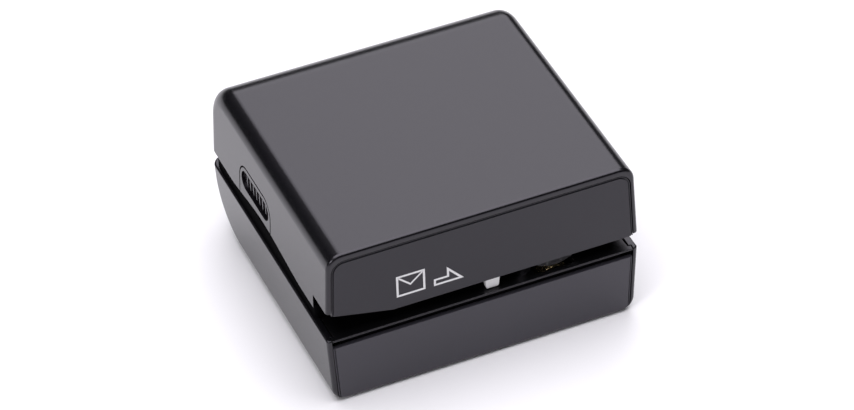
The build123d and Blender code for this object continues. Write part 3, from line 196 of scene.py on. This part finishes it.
def turned_metal(name, colour, roughness, scratch=(900, 60, 900), bump=0.2):
    """Metal with fine tool marks that run round or along it."""
    m = Shader(name, roughness, metallic=1.0)
    marks = m.noise(1.0, 4, m.stretched(scratch))
    m.base(m.colours(marks, scaled(colour, 0.86), colour))
    m.roughness(m.remap(marks, roughness - 0.08, roughness + 0.1))
    m.bump(marks, bump, TOOL_MARK_HEIGHT_MM)
    return m.material


def knurled_brass(name, colour):
    """Brass with a crossed diamond knurl cut into its rim, and painted glints: bright spots on brass
    darkened to a tenth.
    """
    m = Shader(name, 0.22, metallic=1.0)
    diamonds = m.add("ShaderNodeMath", operation="MULTIPLY")
    for slope, target in zip((1, -1), diamonds.inputs):
        wave = m.add("ShaderNodeTexWave", bands_direction="DIAGONAL")
        wave.inputs["Scale"].default_value = 1
        wave.inputs["Distortion"].default_value = 0
        along = m.stretched((KNURL_PER_METRE, KNURL_PER_METRE * slope, KNURL_PER_METRE))
        m.link(along, wave.inputs["Vector"])
        m.link(wave.outputs["Fac"], target)
    # painted glints: sharp-edged noise spots of full brass colour on brass darkened to a tenth
    glint_spots = m.noise(GLINT_SPOTS_PER_METRE, 3)
    m.base(m.colours(glint_spots, scaled(colour, 0.10), colour, 0.47, 0.56))
    m.bump(diamonds.outputs["Value"], 1.0, KNURL_HEIGHT_MM)
    return m.material


def worn_rubber(name, colour, roughness):
    """Rubber with paper dust and small pits."""
    m = Shader(name, roughness, specular=0.35)
    dust = m.noise(DUST_PER_METRE, 4)
    m.base(m.colours(dust, colour, scaled(colour, 6), 0.48, 0.72))
    m.bump(m.cells(PITS_PER_METRE), 0.5, PIT_HEIGHT_MM)
    return m.material


SHELL_BLACK = (0.0036, 0.0034, 0.0044)
PANEL_BLACK = (0.0088, 0.0083, 0.0110)
# panel black painted lighter for the lower front plate: the lighter colour is painted light, not a
# different plastic
PANEL_BLACK_PAINTED_LIGHTER = (0.0300, 0.0288, 0.0355)
FRAME_BLACK = (0.0022, 0.0022, 0.0025)
WHITE = (0.86, 0.86, 0.85)
PRINT_WHITE = (0.80, 0.80, 0.80)
STEEL = (0.62, 0.62, 0.63)
BRASS = (0.93, 0.72, 0.38)

materials = {
    "shell": grained_plastic("shell_black", SHELL_BLACK, 0.25, 0.30, 0.07, 0.5, 0.03),
    "panel": grained_plastic("panel_black", PANEL_BLACK, 0.42, 0.30, 0.14, 0.45, 0.04),
    "plate": grained_plastic("panel_black_painted_lighter", PANEL_BLACK_PAINTED_LIGHTER, 0.42, 0.30, 0.14, 0.55, 0.04),
    "frame": grained_plastic("frame_black", FRAME_BLACK, 0.8, 0.4, 0.3, 0.01),
    "table": grained_plastic("table_black", FRAME_BLACK, 0.32, 0.30, 0.08, 0.5, 0.03),
    "white": grained_plastic("white_acetal", WHITE, 0.32, 0.6, 0.08, 0.5, 0.02),
    "print": grained_plastic("printed_white", PRINT_WHITE, 0.5, 0.4, 0.1, 0.4, 0.02),
    "switch": grained_plastic("switch_black", (0.02, 0.02, 0.022), 0.45, 0.3, 0.2),
    "cap": grained_plastic("nylon_cap", (0.70, 0.68, 0.62), 0.45, 0.4, 0.1),
    "sleeve": grained_plastic("battery_sleeve", (0.09, 0.10, 0.13), 0.25, 0.8, 0.05),
    "red": grained_plastic("lead_red", (0.50, 0.03, 0.03), 0.4, 0.5, 0.1),
    "black": grained_plastic("lead_black", (0.02, 0.02, 0.02), 0.4, 0.5, 0.1),
    "yellow": grained_plastic("lead_yellow", (0.70, 0.52, 0.05), 0.4, 0.5, 0.1),
    "tyre": worn_rubber("feed_rubber", (0.012, 0.012, 0.012), 0.75),
    "foot": worn_rubber("foot_rubber", (0.02, 0.02, 0.02), 0.8),
    "brass": knurled_brass("knurled_brass", BRASS),
    "bronze": turned_metal("sintered_bronze", (0.45, 0.30, 0.16), 0.45),
    "steel": turned_metal("turned_steel", STEEL, 0.25),
    "blade": turned_metal("ground_steel", (0.70, 0.70, 0.72), 0.18, (400, 400, 2500)),
    "zinc": turned_metal("zinc_sheet", (0.58, 0.60, 0.60), 0.38, (90, 90, 1200)),
    "can": turned_metal("motor_can", (0.50, 0.50, 0.50), 0.32, (120, 1500, 120)),
    "nickel": turned_metal("nickel_contact", (0.72, 0.70, 0.66), 0.22),
}

material_of_slot = {
    "shell_black": "shell", "panel_black": "panel", "frame_black": "frame",
    "white_plastic": "white", "switch_body": "switch", "cap_plastic": "cap",
    "battery_sleeve": "sleeve", "lead_red": "red", "lead_black": "black",
    "lead_yellow": "yellow", "feed_rubber": "tyre", "foot_rubber": "foot", "brass": "brass",
    "bushing_bronze": "bronze", "steel": "steel", "blade_steel": "blade",
    "plate_steel": "zinc", "motor_steel": "can", "contact_nickel": "nickel",
}

# the lower front plate gets the panel black painted lighter, as painted light; the slot table gets a
# glossier frame black
material_of_node = {"base_front_plate": "plate", "slot_table": "table"}

for entry in frame["record"]["subparts"]:
    piece = nodes[entry["node"]]
    look = material_of_node.get(entry["node"], material_of_slot[entry["material_slot"]])
    piece.data.materials.clear()
    piece.data.materials.append(materials[look])

# ------------------------------------------------------------------ printed icons on the front panel
PRINT_THICKNESS = 0.03 * MM
PRINT_LINE = 0.62 * MM
FLAP_LINE = 0.5 * MM
# places on the panel in millimetres: x along the slot, z up
ICONS_LOW = 30.5
ENVELOPE_LEFT, ENVELOPE_RIGHT, ENVELOPE_HIGH = -24.6, -17.0, 36.9
FLAP_INSET = 0.3
FLAP_TIP = (-20.9, 33.5)
ARROW_TAIL, ARROW_NECK, ARROW_TIP = -14.0, -10.2, -6.4
ARROW_SHAFT_HIGH, ARROW_BARB_HIGH = 32.2, 34.7
panel_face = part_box("front_panel")[0].y


def printed_line(name, points, closed, line=PRINT_LINE):
    """A printed stroke of even width along points in the panel's plane, with mitred corners."""
    count = len(points)
    flat = [Vector((x, z)) for x, z in points]

    def side(i):
        """Offset from a corner to the left edge of the stroke."""
        before = flat[i] - flat[i - 1] if closed or i > 0 else flat[1] - flat[0]
        after = flat[(i + 1) % count] - flat[i] if closed or i < count - 1 else before
        normals = [Vector((-d.y, d.x)).normalized() for d in (before, after)]
        middle = (normals[0] + normals[1]).normalized()
        return middle * (line / 2) / middle.dot(normals[0])

    mesh = bmesh.new()
    rings = []
    for i in range(count):
        offset = side(i)
        ring = []
        for x, z in (flat[i] + offset, flat[i] - offset):
            for y in (panel_face, panel_face - PRINT_THICKNESS):
                ring.append(mesh.verts.new((x, y, z)))
        rings.append(ring)
    last = count if closed else count - 1
    for i in range(last):
        a, b = rings[i], rings[(i + 1) % count]
        for j, k in ((0, 1), (1, 3), (3, 2), (2, 0)):
            mesh.faces.new((a[j], a[k], b[k], b[j]))
    if not closed:
        for ring in (rings[0], rings[-1]):
            mesh.faces.new((ring[0], ring[1], ring[3], ring[2]))
    bmesh.ops.recalc_face_normals(mesh, faces=mesh.faces)
    data = bpy.data.meshes.new(name)
    mesh.to_mesh(data)
    mesh.free()
    piece = bpy.data.objects.new(name, data)
    bpy.context.scene.collection.objects.link(piece)
    data.materials.append(materials["print"])
    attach(piece, "cover")


def at_mm(*points):
    """Points given in millimetres, in metres."""
    return [(x * MM, z * MM) for x, z in points]


# envelope: outline and flap
printed_line("print_envelope_outline",
             at_mm((ENVELOPE_LEFT, ENVELOPE_HIGH), (ENVELOPE_RIGHT, ENVELOPE_HIGH),
                   (ENVELOPE_RIGHT, ICONS_LOW), (ENVELOPE_LEFT, ICONS_LOW)), True)
printed_line("print_envelope_flap",
             at_mm((ENVELOPE_LEFT + FLAP_INSET, ENVELOPE_HIGH - FLAP_INSET), FLAP_TIP,
                   (ENVELOPE_RIGHT - FLAP_INSET, ENVELOPE_HIGH - FLAP_INSET)), False, FLAP_LINE)
# half arrow that shows the way of travel
printed_line("print_arrow",
             at_mm((ARROW_TAIL, ARROW_SHAFT_HIGH), (ARROW_NECK, ARROW_SHAFT_HIGH),
                   (ARROW_NECK, ARROW_BARB_HIGH), (ARROW_TIP, ICONS_LOW),
                   (ARROW_TAIL, ICONS_LOW)), True)

# ------------------------------------------------------------------ stage and light
FLOOR_WHITE = (0.9, 0.9, 0.9)
FLOOR_ROUGHNESS = 0.9
FLOOR_WIDTH = 16
LAMP_COLOUR = (0.965, 0.945, 1.0)
WORLD_STRENGTH = 0.035


def make_floor():
    """Large pale floor, which also is the background."""
    bpy.ops.mesh.primitive_plane_add(size=FLOOR_WIDTH)
    floor = bpy.context.object
    floor.name = "floor"
    material = bpy.data.materials.new("floor_pale")
    material.use_nodes = True
    shader = material.node_tree.nodes["Principled BSDF"]
    shader.inputs["Base Color"].default_value = (*FLOOR_WHITE, 1)
    shader.inputs["Roughness"].default_value = FLOOR_ROUGHNESS
    floor.data.materials.append(material)


def make_world(strength):
    """Even dim light from all round. The floor fills the view behind the object."""
    world = bpy.data.worlds.new("world")
    world.use_nodes = True
    background = world.node_tree.nodes["Background"]
    background.inputs["Color"].default_value = (1, 1, 1, 1)
    background.inputs["Strength"].default_value = strength
    bpy.context.scene.world = world


def make_softbox(name, place, aim, size, power):
    """Slightly cool soft box that faces a point."""
    data = bpy.data.lights.new(name, "AREA")
    data.shape = "RECTANGLE"
    data.size, data.size_y = size
    data.energy = power
    data.color = LAMP_COLOUR
    lamp = bpy.data.objects.new(name, data)
    bpy.context.scene.collection.objects.link(lamp)
    lamp.location = place
    lamp.rotation_euler = (Vector(aim) - Vector(place)).to_track_quat("-Z", "Y").to_euler()


make_floor()
make_world(WORLD_STRENGTH)
make_softbox("overhead_softbox", (0, 0, 1.6), (0, 0, 0), (2.0, 2.0), 46)
make_softbox("back_softbox", (0.48, 1.07, 0.97), (0, 0, 0.03), (0.8, 0.9), 5.7)
make_softbox("front_left_softbox", (-1.0, -0.57, 0.6), (0, 0, 0.03), (0.28, 0.28), 3.6)

bpy.context.scene.view_settings.view_transform = "Standard"
